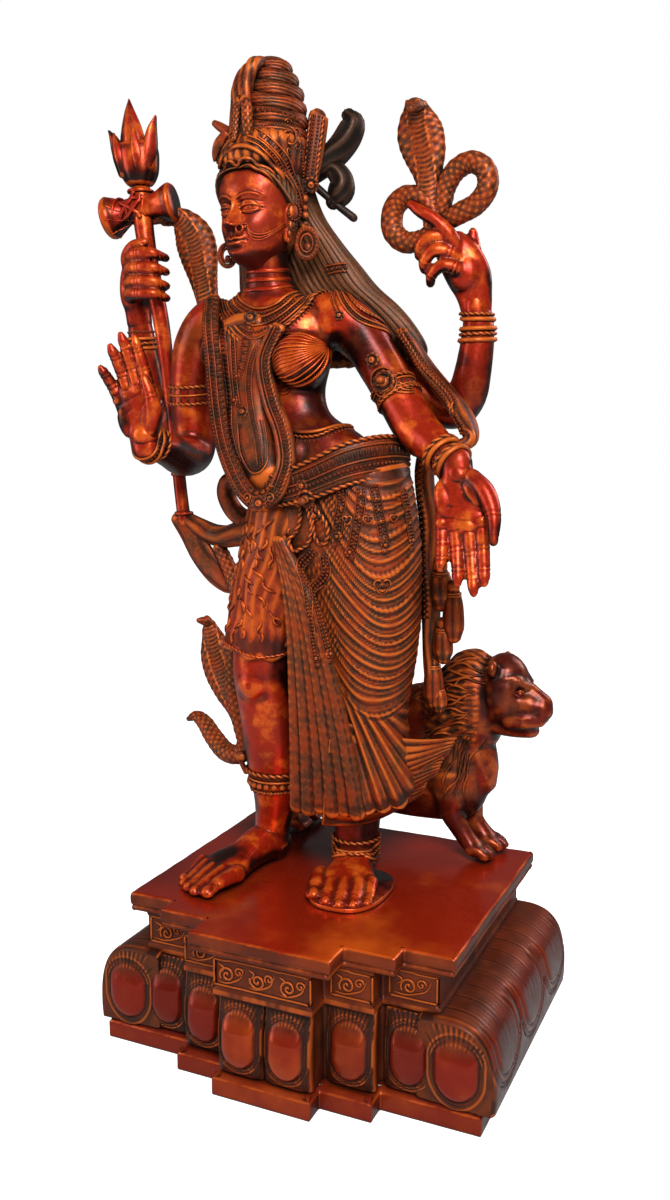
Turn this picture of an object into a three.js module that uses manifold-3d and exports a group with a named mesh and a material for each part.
// Cast brass statue of a four-armed standing deity, half male and half female,
// with a lion behind, on a stepped lotus plinth.
// Millimetres, +Z up. Origin at the centre of the plinth underside; the statue faces -Y,
// so its own right side is -X. Heights in the figure and lion sections start at the slab top.
import * as THREE from 'three';
import { mergeVertices } from 'three/addons/utils/BufferGeometryUtils.js';
import Module from 'manifold-3d';

const wasm = await Module();
wasm.setup();

// driving dimensions
const plinthHeight = 112;      // underside to the top of the slab
const slabThickness = 13;
const slabHalfWidth = 120;
const slabBack = 96;
const slabSteps = [            // half width and front edge of each step of the slab
  [51, -131],
  [86, -110],
  [120, -96]
];
const friezeSteps = [
  [36, -125],
  [70, -106],
  [109, -91]
];
const petalSteps = [
  [34, -119],
  [69, -102],
  [112, -90]
];
const footBandSteps = [
  [36, -129],
  [72, -114],
  [140, -99]
];
const friezeTop = plinthHeight - slabThickness;
const friezeFoot = 69;
const lipHeight = 7;
const footBandHeight = 15;
const footGap = 0.3;           // feet and paws clear the slab by this much
const figureColour = 0x8f3012;
const plinthColour = 0xa3260c;
const lionColour = 0x7b2a10;

const v3 = (p) => new THREE.Vector3(p[0], p[1], p[2]);

// turns a closed triangle mesh into a solid whose faces point outward
function solidOf(geometry) {
  let shape = geometry.clone();
  shape.deleteAttribute('normal');
  shape.deleteAttribute('uv');
  shape = mergeVertices(shape, 1e-4);
  const vertProperties = new Float32Array(shape.attributes.position.array);
  const triVerts = new Uint32Array(shape.index.array);
  const solid = new wasm.Manifold(new wasm.Mesh({ numProp: 3, vertProperties, triVerts }));
  if (solid.volume() >= 0) return solid;
  for (let i = 0; i < triVerts.length; i += 3) {
    [triVerts[i + 1], triVerts[i + 2]] = [triVerts[i + 2], triVerts[i + 1]];
  }
  return new wasm.Manifold(new wasm.Mesh({ numProp: 3, vertProperties, triVerts }));
}

// skin over rings of equal point count, closed at both ends by fans, or joined end to end
function skin(rings, joined = false) {
  const sides = rings[0].length;
  const points = [];
  const faces = [];
  rings.forEach((ring) => ring.forEach((p) => points.push(p.x, p.y, p.z)));
  const spans = joined ? rings.length : rings.length - 1;
  for (let r = 0; r < spans; r++) {
    const next = (r + 1) % rings.length;
    for (let s = 0; s < sides; s++) {
      const a = r * sides + s;
      const b = r * sides + (s + 1) % sides;
      const c = next * sides + (s + 1) % sides;
      const d = next * sides + s;
      faces.push(a, b, c, a, c, d);
    }
  }
  if (!joined) {
    for (const [start, flip] of [[0, true], [(rings.length - 1) * sides, false]]) {
      for (let s = 1; s < sides - 1; s++) {
        if (flip) faces.push(start, start + s + 1, start + s);
        else faces.push(start, start + s, start + s + 1);
      }
    }
  }
  const geometry = new THREE.BufferGeometry();
  geometry.setAttribute('position', new THREE.Float32BufferAttribute(points, 3));
  geometry.setIndex(faces);
  return solidOf(geometry);
}

// round limb through stations [x, y, z, half width, half depth]; wide names the width direction
function limb(stations, sides = 8, wide = [1, 0, 0], joined = false) {
  const at = stations.map(v3);
  const count = at.length;
  const rings = stations.map((s, i) => {
    const before = at[joined ? (i + count - 1) % count : Math.max(i - 1, 0)];
    const after = at[joined ? (i + 1) % count : Math.min(i + 1, count - 1)];
    const along = after.clone().sub(before).normalize();
    const across = v3(wide).addScaledVector(along, -v3(wide).dot(along)).normalize();
    const deep = new THREE.Vector3().crossVectors(along, across);
    const ring = [];
    for (let k = 0; k < sides; k++) {
      const t = (k + 0.5) / sides * Math.PI * 2;
      ring.push(at[i].clone()
        .addScaledVector(across, Math.cos(t) * s[3])
        .addScaledVector(deep, Math.sin(t) * (s[4] ?? s[3])));
    }
    return ring;
  });
  return skin(rings, joined);
}

// level sections [height, centre x, centre y, half width, half depth, rise per width],
// squarer as power grows
function stack(sections, sides = 16, power = 2) {
  const rings = sections.map(([h, cx, cy, a, b, rise = 0]) => {
    const ring = [];
    for (let k = 0; k < sides; k++) {
      const t = (k + 0.5) / sides * Math.PI * 2;
      const c = Math.cos(t);
      const s = Math.sin(t);
      const px = Math.sign(c) * Math.abs(c) ** (2 / power) * a;
      const py = Math.sign(s) * Math.abs(s) ** (2 / power) * b;
      ring.push(new THREE.Vector3(cx + px, cy + py, h + px * rise));
    }
    return ring;
  });
  return skin(rings);
}

function ball(x, y, z, rx, ry, rz, turn = 0, around = 10, up = 7) {
  const geometry = new THREE.SphereGeometry(1, around, up);
  geometry.rotateX(Math.PI / 2).scale(rx, ry, rz).rotateZ(turn).translate(x, y, z);
  return solidOf(geometry);
}

// ring of radius big and thickness small about the axis direction
function hoop(x, y, z, big, small, axis, around = 12, sides = 5) {
  const geometry = new THREE.TorusGeometry(big, small, sides, around);
  const turn = new THREE.Quaternion().setFromUnitVectors(
    new THREE.Vector3(0, 0, 1), v3(axis).normalize());
  geometry.applyQuaternion(turn).translate(x, y, z);
  return solidOf(geometry);
}

// block on a stepped plan, the same on both sides, from height z0 to z1
function steppedBlock(steps, back, z0, z1) {
  const plan = new THREE.Shape();
  const right = [];
  let inner = 0;
  for (const [half, front] of steps) {
    right.push([inner, front], [half, front]);
    inner = half;
  }
  right.push([inner, back]);
  right.shift();
  const left = right.map(([x, y]) => [-x, y]).reverse();
  [...right, ...left].forEach(([x, y], i) => (i ? plan.lineTo(x, y) : plan.moveTo(x, y)));
  plan.closePath();
  const geometry = new THREE.ExtrudeGeometry(plan, { depth: z1 - z0, bevelEnabled: false });
  geometry.translate(0, 0, z0);
  return solidOf(geometry);
}

function join(solids) {
  return solids.reduce((whole, solid) => whole.add(solid));
}

// joined solid back into a named mesh, keeping only the one main body
function meshOf(name, solid, colour, roughness) {
  const parts = solid.decompose().sort((a, b) => b.volume() - a.volume());
  const data = parts[0].getMesh();
  const geometry = new THREE.BufferGeometry();
  geometry.setAttribute('position', new THREE.BufferAttribute(data.vertProperties, 3));
  geometry.setIndex(new THREE.BufferAttribute(data.triVerts, 1));
  geometry.computeVertexNormals();
  const material = new THREE.MeshStandardMaterial({ color: colour, roughness, metalness: 0.55 });
  const mesh = new THREE.Mesh(geometry, material);
  mesh.name = name;
  return mesh;
}

// hand from the wrist: dir points along the fingers, palm out of the palm;
// fingers give [spread, first bend, second bend, length] in degrees from index to little
function hand(wrist, dir, palm, thumbSide, size, fingers, thumb) {
  const v = v3(dir).normalize();
  const w = v3(palm).addScaledVector(v, -v3(palm).dot(v)).normalize();
  const u = new THREE.Vector3().crossVectors(v, w).multiplyScalar(thumbSide);
  const place = (a, b, c) => v3(wrist).addScaledVector(u, a * size)
    .addScaledVector(v, b * size).addScaledVector(w, c * size);
  const station = (a, b, c, half, deep) => [...place(a, b, c).toArray(), half * size, deep * size];
  const across = u.toArray();
  const solids = [limb([
    station(0, -4, 0, 9, 8),
    station(0, 16, -1, 16, 8),
    station(0, 32, -1, 18, 7.5),
    station(0, 38, 0, 16, 6)
  ], 6, across)];
  fingers.forEach(([spread, first, second, length], k) => {
    const base = [12 - k * 8, 33 - Math.abs(k - 1) * 1.5, 0];
    const lengths = [0.42 * length, 0.33 * length, 0.25 * length];
    let lean = 0;
    const turn = THREE.MathUtils.degToRad(spread);
    const path = [station(base[0], base[1], base[2], 5.9, 5.4)];
    let here = base;
    [first, second, second * 0.7].forEach((bend, j) => {
      lean += THREE.MathUtils.degToRad(bend);
      const out = lengths[j];
      here = [
        here[0] + Math.sin(turn) * Math.cos(lean) * out,
        here[1] + Math.cos(turn) * Math.cos(lean) * out,
        here[2] + Math.sin(lean) * out
      ];
      const half = [5.6, 5.1, 3.2][j];
      path.push(station(here[0], here[1], here[2], half, half));
    });
    solids.push(limb(path, 4, across));
  });
  const thumbPath = thumb.map(([a, b, c, half]) => station(a, b, c, half, half));
  solids.push(limb(thumbPath, 4, palm));
  return join(solids);
}

// plinth ----------------------------------------------------------------

function lotusPetal(x, front, halfWidth, bulge, z0, z1) {
  const tall = z1 - z0;
  return stack([
    [z0, x, front + 2, halfWidth * 0.45, 5],
    [z0 + tall * 0.18, x, front + 2, halfWidth * 0.9, bulge * 0.8 + 2],
    [z0 + tall * 0.5, x, front + 2, halfWidth, bulge + 2],
    [z1, x, front + 2, halfWidth * 0.85, 4]
  ], 8, 2.4);
}

// long rounded petal band that swells out along each side of the plinth
function sideRoll(side) {
  const profile = [
    [96, 14], [147, 14], [148, 24], [147.5, 40], [145, 53], [139, 63], [130, 69], [118, 72], [96, 72]
  ];
  const ring = (y, shrink) => profile.map(([x, z]) => {
    const inset = x > 100 ? shrink : 0;
    return new THREE.Vector3(side * (x - inset), y, z > 20 ? z - inset * 0.5 : z);
  });
  return skin([ring(-97, 3), ring(-92, 0), ring(90, 0), ring(slabBack, 3)]);
}

const petals = [];
for (const side of [-1, 1]) {
  petals.push(lotusPetal(side * 17, -119, 16, 7, footBandHeight - 1, friezeFoot));
  petals.push(lotusPetal(side * 53, -102, 15, 7, footBandHeight - 1, friezeFoot));
  petals.push(lotusPetal(side * 89, -92, 16, 6, footBandHeight - 1, friezeFoot));
  petals.push(lotusPetal(side * 125, -94, 16, 4, footBandHeight - 1, friezeFoot - 4));
  petals.push(sideRoll(side));
}
const plinth = join([
  steppedBlock(slabSteps, slabBack, friezeTop, plinthHeight),
  steppedBlock(friezeSteps, slabBack - 4, friezeFoot, friezeTop + 1),
  steppedBlock(friezeSteps.map(([x, y]) => [x + 2, y - 3]), slabBack - 3,
    friezeFoot, friezeFoot + lipHeight),
  steppedBlock(petalSteps, slabBack - 4, footBandHeight - 1, friezeFoot + 1),
  steppedBlock(footBandSteps, slabBack, 0, footBandHeight),
  ...petals
]);

// figure ----------------------------------------------------------------

// trunk from the hips to the chin; the body sways to its right
const trunk = stack([
  [228, -2, 2, 54, 32],
  [264, -6, 0, 59, 34],
  [290, -12, -1, 55, 32],
  [308, -16, -2, 48, 27],
  [320, -24, -3, 41, 23],
  [331, -40, -2, 28, 20],
  [349, -47, 0, 34, 22],
  [370, -53, 2, 45, 25],
  [390, -57, 3, 50, 24],
  [403, -57, 4, 45, 20],
  [413, -58, 5, 28, 16],
  [420, -58, 5, 17, 15],
  [442, -60, 3, 16, 16]
], 12);
const bust = join([
  ball(-23, -20, 366, 21, 17, 19, 0, 8, 6),
  ball(-80, -15, 372, 22, 13, 17, 0, 8, 5)
]);
const head = join([
  stack([
    [430, -64, -18, 8, 7],
    [438, -63, -12, 18, 17],
    [449, -62, -7, 24, 23],
    [466, -61, -3, 27, 29],
    [493, -60, 1, 28, 31]
  ], 12),
  limb([[-69, -29, 472, 3, 4], [-70, -34, 458, 5, 6], [-69, -29, 450, 4, 4]], 4)
]);
const crown = join([
  stack([
    [486, -60, 0, 32, 35], [498, -60, 1, 35, 37], [508, -58, 2, 31, 32],
    [521, -57, 3, 27, 28], [529, -57, 4, 29, 29], [541, -57, 5, 24, 24],
    [549, -58, 6, 25, 24], [564, -59, 8, 19, 17], [571, -60, 9, 9, 8]
  ], 11),
  limb([[-60, -29, 503, 7, 5], [-61, -32, 520, 8, 5], [-61, -31, 534, 7, 5], [-60, -28, 541, 3, 3]], 5),
  limb([[-80, -10, 518, 5, 3], [-92, -12, 523, 4, 3], [-99, -13, 531, 1, 1]], 5, [0, 0, 1]),
  limb([[-32, 2, 474, 5, 5], [-29, 4, 492, 6, 6], [-26, 7, 520, 6, 5], [-24, 9, 536, 2, 2]], 6),
  limb([[-88, 2, 474, 5, 5], [-91, 5, 500, 6, 5], [-90, 7, 522, 3, 3]], 6)
]);

// knotted bow behind the crown, one pair of loops on each side
const headBow = join([
  limb([[-34, 24, 497, 7, 9], [-20, 30, 503, 6, 9], [-13, 33, 514, 8, 10], [-9, 35, 524, 9, 10],
    [-8, 35, 531, 5, 7]], 7, [1, 0, 0.3]),
  limb([[-24, 28, 506, 5, 8], [-16, 32, 498, 8, 9], [-14, 32, 488, 9, 9], [-18, 30, 482, 5, 7]],
    7, [1, 0, 0]),
  limb([[-84, 24, 497, 7, 9], [-96, 28, 506, 6, 9], [-103, 30, 518, 7, 9], [-106, 30, 528, 4, 6]],
    6, [1, 0, 0])
]);
const earrings = join([
  hoop(-34, -2, 450, 7.5, 2.8, [1, -0.45, 0], 8, 3),
  hoop(-88, -10, 452, 7.5, 2.8, [1, 0.3, 0], 8, 3)
]);

// hair falls behind the shoulders and over the left one
const hair = stack([
  [368, -4, 32, 48, 7], [380, -12, 32, 60, 9], [398, -26, 31, 62, 10], [415, -38, 30, 60, 11],
  [442, -50, 28, 45, 12], [464, -57, 26, 38, 13], [494, -60, 20, 30, 13]
], 10);

const neckpiece = join([
  hoop(-59, 2, 419, 17, 3, [0, -0.15, 1], 8, 3),
  limb([
    [-104, 4, 408, 7, 5], [-90, -14, 397, 9, 5], [-72, -23, 384, 10, 5], [-50, -26, 379, 10, 5],
    [-30, -21, 387, 9, 5], [-15, -8, 402, 8, 5], [-11, 4, 414, 6, 4]
  ], 6, [0, 0, 1])
]);

// long garland that hangs in a loop to below the navel
const garland = limb([
  [-96, -6, 411, 9, 5], [-89, -22, 390, 10, 5], [-83, -27, 365, 11, 5], [-80, -29, 338, 11, 6],
  [-74, -33, 316, 11, 6], [-63, -39, 294, 11, 6], [-51, -43, 278, 10, 6], [-38, -44, 271, 10, 6],
  [-25, -42, 282, 9, 6], [-23, -37, 300, 9, 6], [-30, -31, 320, 9, 6], [-40, -27, 340, 8, 5],
  [-44, -27, 368, 7, 4]
], 5, [1, 0, 0]);
const chestPanel = limb([
  [-66, -14, 384, 18, 10], [-62, -16, 340, 18, 12], [-54, -24, 304, 18, 14], [-42, -26, 282, 14, 14]
], 5, [1, 0, 0]);

const belt = join([
  limb([
    [-64, -18, 290, 10, 5], [-40, -33, 278, 10, 5], [-10, -37, 284, 13, 5], [18, -30, 298, 15, 5],
    [37, -12, 302, 15, 5], [41, 12, 300, 13, 5], [20, 32, 294, 11, 5], [-36, 32, 290, 10, 5],
    [-66, 10, 290, 10, 5]
  ], 4, [0, 0, 1], true),
  ball(-7, -42, 270, 9, 6, 10, 0, 6, 5)
]);

// draped skirt of the left half with a flying corner and a fan of pleats
const skirt = join([
  stack([
    [57, 17, -1, 36, 27, 0.14],
    [80, 16, 1, 38, 31, 0.14],
    [118, 14, 4, 34, 33],
    [150, 14, 4, 38, 36],
    [190, 8, 4, 50, 38],
    [240, 0, 1, 60, 37],
    [276, -4, 0, 58, 35]
  ], 14),
  limb([
    [18, -14, 92, 22, 8], [36, 2, 90, 24, 9], [54, 15, 90, 22, 8], [67, 24, 94, 17, 6],
    [77, 30, 98, 9, 4]
  ], 7, [0, 0, 1]),
  ...[[226, 34], [198, 40], [164, 42]].map(([h, sag]) => limb([
    [-16, -36, h + 18, 4, 4], [12, -39, h - sag * 0.7, 6, 5], [36, -26, h - sag, 6, 5],
    [55, 6, h, 4, 4]
  ], 3, [0, 0, 1])),
  limb([[-34, -32, 246, 6, 5], [-17, -39, 190, 7, 6], [-14, -33, 120, 9, 7], [-14, -24, 55, 9, 7]], 4),
  limb([[-22, -38, 242, 5, 5], [6, -41, 180, 7, 6], [28, -31, 110, 8, 7], [38, -22, 62, 7, 5]], 4),
  limb([[-28, -36, 246, 5, 5], [-6, -42, 190, 7, 6], [6, -37, 120, 8, 7], [12, -29, 60, 8, 6]], 4)
]);

// short tiger-skin garment over the right thigh
const thighCloth = stack([
  [165, -57, -6, 28, 28],
  [172, -57, -6, 29, 29],
  [205, -51, -6, 29, 30],
  [236, -42, -4, 31, 32],
  [268, -34, -2, 34, 32]
], 12);

const legs = join([
  stack([
    [10, -61, 4, 17, 16], [30, -57, 4, 16, 16], [48, -56, 3, 18, 18], [55, -56, 3, 28, 27],
    [69, -55, 2, 28, 27], [76, -54, 2, 22, 21], [108, -53, -3, 25, 23], [132, -56, -9, 22, 21],
    [150, -57, -9, 23, 23], [176, -54, -7, 24, 24]
  ], 9),
  stack([[9, 8, 4, 18, 18], [12, 8, 3, 21, 20], [24, 8, 3, 21, 20], [27, 8, 4, 17, 17],
    [68, 11, 5, 18, 18]], 9),
  ball(-77, -12, 80, 6, 6, 6, 0, 5, 4)
]);

// foot as a wedge with five toes; toes gives [x, y, half width, length behind the tip]
function foot(heel, tread, toes, widths, top) {
  const forward = new THREE.Vector3(tread[0] - heel[0], tread[1] - heel[1], 0);
  const side = new THREE.Vector3(-forward.y, forward.x, 0).normalize().toArray();
  const level = (k, half, high) => [heel[0] + forward.x * k, heel[1] + forward.y * k,
    high * 0.5, half, high * 0.5];
  const solids = [limb([
    level(-0.2, widths[0] * 0.55, 15), level(-0.08, widths[0], top),
    level(0.45, widths[1], top * 0.8), level(1.05, widths[2], 12)
  ], 8, side)];
  for (const [x, y, half, length] of toes) {
    const back = forward.clone().normalize().multiplyScalar(length);
    solids.push(limb([
      [x - back.x, y - back.y, 6, half * 1.25, 7], [x, y, 4, half * 1.1, 4.6]
    ], 4, side));
  }
  return join(solids);
}

const feet = join([
  foot([-60, 4], [-74, -56], [
    [-66, -90, 5.5, 34], [-75, -89, 4.2, 32], [-83, -85, 4.2, 30], [-90, -78, 4.2, 28],
    [-95, -68, 4, 26]
  ], [17, 16, 18], 24),
  foot([10, 6], [22, -40], [
    [5, -62, 5.8, 30], [17, -68, 4.6, 32], [27, -68, 4.4, 32], [36, -64, 4.4, 30],
    [43, -56, 4.2, 28]
  ], [18, 18, 19], 24)
]);
const floorCut = solidOf(new THREE.BoxGeometry(600, 600, 100).translate(0, 0, -50));

// arms
const rightFrontArm = limb([
  [-92, 4, 400, 12, 13], [-106, 5, 398, 19, 17], [-119, 6, 380, 19, 17], [-125, 9, 358, 17, 16],
  [-125, 9, 357, 21, 20], [-126, 10, 343, 21, 20], [-126, 11, 341, 17, 17],
  [-127, 15, 322, 18, 17], [-126, 12, 304, 16, 15], [-123, -8, 300, 15, 14],
  [-121, -38, 307, 12, 12], [-121, -43, 308, 16, 16], [-120, -53, 313, 16, 16], [-120, -58, 317, 10, 10]
], 7, [1, 0, 0]);
const raisedHand = hand([-122, -58, 314], [-0.2, -0.08, 1], [0.08, -1, -0.08], 1, 1.0, [
  [0, 3, 4, 38], [-1, 4, 5, 41], [-3, 6, 6, 37], [-10, 10, 10, 27]
], [[8, 4, 3, 6], [15, 14, 7, 6.4], [17, 26, 10, 5.2], [16, 38, 11, 2.4]]);

const rightBackArm = limb([
  [-92, 18, 392, 14, 12], [-116, 26, 372, 15, 14], [-144, 36, 344, 15, 14], [-166, 42, 324, 15, 14],
  [-175, 41, 330, 14, 14], [-180, 33, 372, 13, 13], [-181, 30, 381, 16, 16],
  [-182, 28, 391, 16, 16], [-181, 24, 410, 10, 10]
], 7, [0, 1, 0]);
const gripHand = join([
  limb([[-181, 25, 408, 10, 9], [-181, 22, 418, 14, 11], [-178, 20, 434, 15, 11],
    [-174, 18, 446, 12, 9]], 7, [0.3, 1, 0]),
  ...[[444, 1], [434, 1.1], [424, 1.05], [415, 0.9]].map(([h, reach]) => limb([
    [-176, 10, h, 5, 5], [-166, 2, h + 1, 5, 5], [-154, 2, h + 1, 4.8, 5],
    [-150 + 8 * reach, 8, h, 3, 3.6]
  ], 4, [0, 0, 1])),
  limb([[-180, 16, 440, 5, 5], [-174, 8, 450, 5, 5], [-162, 5, 455, 3, 3]], 5, [0, 1, 0])
]);

const leftFrontArm = join([
  limb([
    [-24, 8, 400, 13, 13], [-8, 10, 400, 19, 17], [8, 12, 388, 18, 17], [25, 9, 364, 16, 16],
    [27, 9, 361, 20, 20], [34, 7, 350, 20, 20], [37, 6, 346, 16, 16],
    [60, -3, 318, 17, 16], [78, -15, 306, 12, 12], [81, -17, 304, 16, 16], [90, -24, 298, 16, 16],
    [94, -27, 293, 9, 9]
  ], 8, [0, 1, 0]),
  ball(34, -11, 359, 10, 7, 11, 0, 6, 4)
]);
const loweredHand = hand([93, -27, 292], [0.16, -0.14, -1], [0.1, -1, 0.1], -1, 1.05, [
  [-2, 2, 4, 40], [0, 3, 4, 44], [-1, 5, 6, 39], [-4, 8, 8, 31]
], [[9, 4, 3, 6.4], [17, 14, 6, 6.6], [21, 28, 9, 5.4], [20, 46, 11, 2.6]]);

const leftBackArm = limb([
  [-16, 20, 392, 14, 12], [14, 28, 370, 15, 13], [44, 38, 346, 15, 14], [66, 41, 334, 15, 14],
  [77, 40, 344, 15, 14], [84, 38, 374, 13, 13], [85, 37, 382, 17, 17], [85, 36, 396, 17, 17],
  [84, 35, 404, 10, 9]
], 7, [0, 1, 0]);
const cobraHand = join([
  limb([[84, 35, 400, 10, 9], [82, 33, 412, 14, 10], [74, 30, 428, 16, 10], [66, 28, 442, 14, 9],
    [60, 27, 448, 9, 7]], 8, [0.9, 0, 0.5]),
  limb([[66, 22, 442, 5, 5], [55, 18, 444, 5, 5], [50, 22, 436, 4, 4]], 4),
  limb([[70, 22, 434, 5, 5], [60, 17, 434, 5, 5], [54, 21, 426, 4, 4]], 4),
  limb([[74, 24, 424, 5, 5], [64, 19, 424, 5, 5], [58, 23, 418, 4, 4]], 4),
  limb([[80, 32, 424, 5, 6], [82, 32, 438, 5, 5], [81, 32, 454, 1.5, 1.5]], 4),
  limb([[72, 23, 440, 5, 5], [62, 19, 452, 5, 5], [48, 17, 464, 4, 4], [42, 18, 468, 2, 2]], 4)
]);

// trident in the back right hand, with a waisted drum below its prongs
const trident = join([
  limb([[-144, 25, 248, 6, 6], [-149, 25, 292, 5, 5], [-154, 23, 360, 6, 6], [-157, 20, 400, 7, 7],
    [-161, 14, 430, 7, 7], [-167, 15, 462, 8, 8], [-169, 15, 490, 9, 9], [-169, 15, 496, 11, 11],
    [-169, 15, 499, 9, 9], [-170, 15, 507, 14, 11], [-172, 15, 520, 17, 11], [-172, 15, 525, 15, 9]], 6),
  limb([[-172, 15, 516, 9, 8], [-175, 15, 534, 11, 8], [-177, 15, 559, 1, 1]], 4),
  limb([[-183, 15, 512, 6, 6], [-188, 15, 524, 6, 6], [-196, 15, 536, 1, 1]], 4),
  limb([[-161, 15, 512, 6, 6], [-158, 15, 526, 6, 6], [-156, 15, 541, 2, 1]], 4),
  limb([[-195, 12, 477, 15, 15], [-182, 13, 480, 9, 9],
    [-170, 15, 481, 11, 11], [-158, 17, 483, 9, 9], [-145, 20, 485, 13, 13]],
  7, [0, 0, 1])
]);

// hooded snakes: one at the right shoulder, one held up, one rising beside the right leg
const shoulderCobra = limb([
  [-112, 20, 402, 10, 8], [-120, 25, 418, 9, 7], [-127, 28, 438, 12, 6], [-132, 30, 456, 15, 6],
  [-139, 30, 469, 13, 6], [-148, 27, 476, 8, 5], [-156, 23, 474, 4, 4]
], 7, [0.8, 0, 0.5]);

const heldCobra = join([
  limb([
    [58, 25, 452, 8, 7], [52, 25, 472, 7, 6], [52, 25, 486, 9, 6], [50, 24, 500, 14, 6],
    [47, 22, 514, 16, 6], [46, 20, 524, 12, 6], [46, 14, 531, 7, 5]
  ], 6, [1, 0, 0]),
  limb([
    [62, 25, 464, 7, 6.5], [65, 25, 480, 7, 6.5], [72, 25, 490, 7, 6.5], [83, 25, 493, 7, 6.5],
    [92, 25, 487, 7, 6.5], [93, 25, 476, 7, 6.5], [86, 25, 466, 7, 6.5], [75, 25, 461, 7, 6.5],
    [62, 25, 456, 6, 6]
  ], 5, [0, 1, 0]),
  limb([
    [56, 25, 462, 6, 6], [48, 25, 474, 6, 6], [36, 25, 476, 7.5, 6.5], [27, 25, 467, 7.5, 6.5],
    [27, 25, 453, 7.5, 6.5], [37, 25, 445, 7.5, 6.5], [50, 25, 448, 6, 6], [60, 25, 456, 6, 6]
  ], 5, [0, 1, 0])
]);

const lowSnake = join([
  limb([
    [-108, 22, 232, 8, 8], [-97, 18, 210, 6, 6], [-91, 15, 180, 6, 6], [-95, 15, 150, 7, 7],
    [-94, 16, 118, 9, 8], [-87, 14, 94, 9, 8], [-86, 14, 80, 8, 8],
    [-96, 14, 71, 8, 7], [-112, 20, 75, 8, 7], [-128, 27, 87, 7, 6], [-140, 30, 94, 5, 4],
    [-148, 30, 90, 2, 2]
  ], 7, [0, 1, 0]),
  limb([
    [-90, 15, 104, 9, 7], [-101, 19, 120, 13, 7], [-112, 25, 136, 15, 6], [-121, 29, 152, 12, 6],
    [-128, 31, 170, 4, 4]
  ], 7, [0.7, 0, 0.7])
]);
const hipKnot = join([
  limb([[-146, 26, 252, 6, 6], [-133, 28, 244, 9, 8], [-118, 28, 238, 10, 9], [-98, 22, 240, 11, 10],
    [-66, 8, 252, 13, 12]], 7, [0, 1, 0]),
  limb([[-146, 26, 250, 7, 5], [-136, 28, 234, 11, 5], [-122, 26, 218, 12, 5],
    [-106, 20, 206, 8, 5], [-96, 17, 202, 5, 5]], 5, [1, 0, 0]),
  limb([[-78, 12, 254, 8, 9], [-92, 12, 262, 8, 8], [-97, 8, 275, 7, 7], [-89, 0, 285, 5, 5]], 5)
]);

// long sash with tassels down the left side
const sash = join([
  limb([[56, 26, 316, 9, 5], [52, 25, 290, 10, 6], [57, 24, 256, 10, 6], [57, 25, 222, 10, 7],
    [58, 26, 180, 8, 6], [58, 27, 150, 7, 5], [62, 27, 128, 7, 4]], 6, [0, 1, 0]),
  limb([[56, 22, 232, 9, 7], [68, 20, 222, 11, 9], [72, 20, 198, 9, 8], [70, 20, 170, 6, 6]], 6),
  limb([[36, 24, 384, 8, 5], [54, 21, 362, 9, 5], [78, 12, 338, 9, 5], [94, -2, 318, 8, 5],
    [90, -14, 308, 5, 4]], 6, [0, 1, 0])
]);

const figure = join([
  trunk, bust, head, crown, headBow, earrings, hair, neckpiece, garland, chestPanel, belt, skirt, thighCloth,
  legs, feet, rightFrontArm, raisedHand, rightBackArm, gripHand, leftFrontArm, loweredHand,
  leftBackArm, cobraHand, trident, shoulderCobra, heldCobra, lowSnake, hipKnot, sash
]).subtract(floorCut);

// lion ------------------------------------------------------------------

const lion = join([
  limb([
    [-86, 74, 88, 6, 8], [-80, 74, 84, 17, 26], [-50, 74, 78, 22, 42], [-10, 74, 74, 23, 54],
    [24, 74, 74, 24, 57], [52, 74, 76, 24, 59], [72, 73, 78, 20, 50], [82, 72, 80, 14, 32]
  ], 9, [0, 1, 0]),
  ball(78, 73, 119, 28, 25, 42, 0, 8, 5),
  ball(101, 69, 129, 21, 21, 30, 0, 8, 5),
  limb([[100, 68, 122, 17, 20], [116, 66, 119, 14, 17], [126, 65, 117, 12, 15], [132, 65, 117, 8, 11]],
    6, [0, 1, 0]),
  limb([[96, 68, 104, 13, 9], [112, 66, 102, 11, 6], [124, 65, 104, 7, 5]], 6, [0, 1, 0]),
  limb([[62, 62, 60, 12, 16], [64, 61, 38, 10, 12], [70, 61, 24, 8, 8], [78, 61, 10, 9, 8],
    [94, 60, 4, 9, 5]], 6, [0, 1, 0]),
  limb([[66, 84, 60, 12, 16], [70, 85, 38, 10, 12], [76, 85, 24, 8, 8], [86, 85, 10, 9, 8],
    [102, 85, 4, 9, 5]], 6, [0, 1, 0]),
  ...[62, 86].map((y) => limb([[-66, y, 70, 12, 24], [-70, y, 42, 10, 14], [-80, y, 24, 7, 8],
    [-76, y, 9, 9, 8], [-60, y, 4, 8, 5]], 6, [0, 1, 0])),
  limb([[-76, 74, 100, 6, 6], [-92, 74, 98, 5, 5], [-98, 75, 82, 4, 4], [-95, 76, 58, 5, 5],
    [-86, 77, 38, 4, 4]], 5, [0, 1, 0])
]).subtract(floorCut);

const plinthMesh = meshOf('plinth', plinth, plinthColour, 0.3);
const figureMesh = meshOf('figure', figure, figureColour, 0.38);
const lionMesh = meshOf('lion', lion, lionColour, 0.4);
figureMesh.position.z = plinthHeight + footGap;
lionMesh.position.z = plinthHeight + footGap;

const statue = new THREE.Group();
statue.add(plinthMesh, figureMesh, lionMesh);

export default statue;
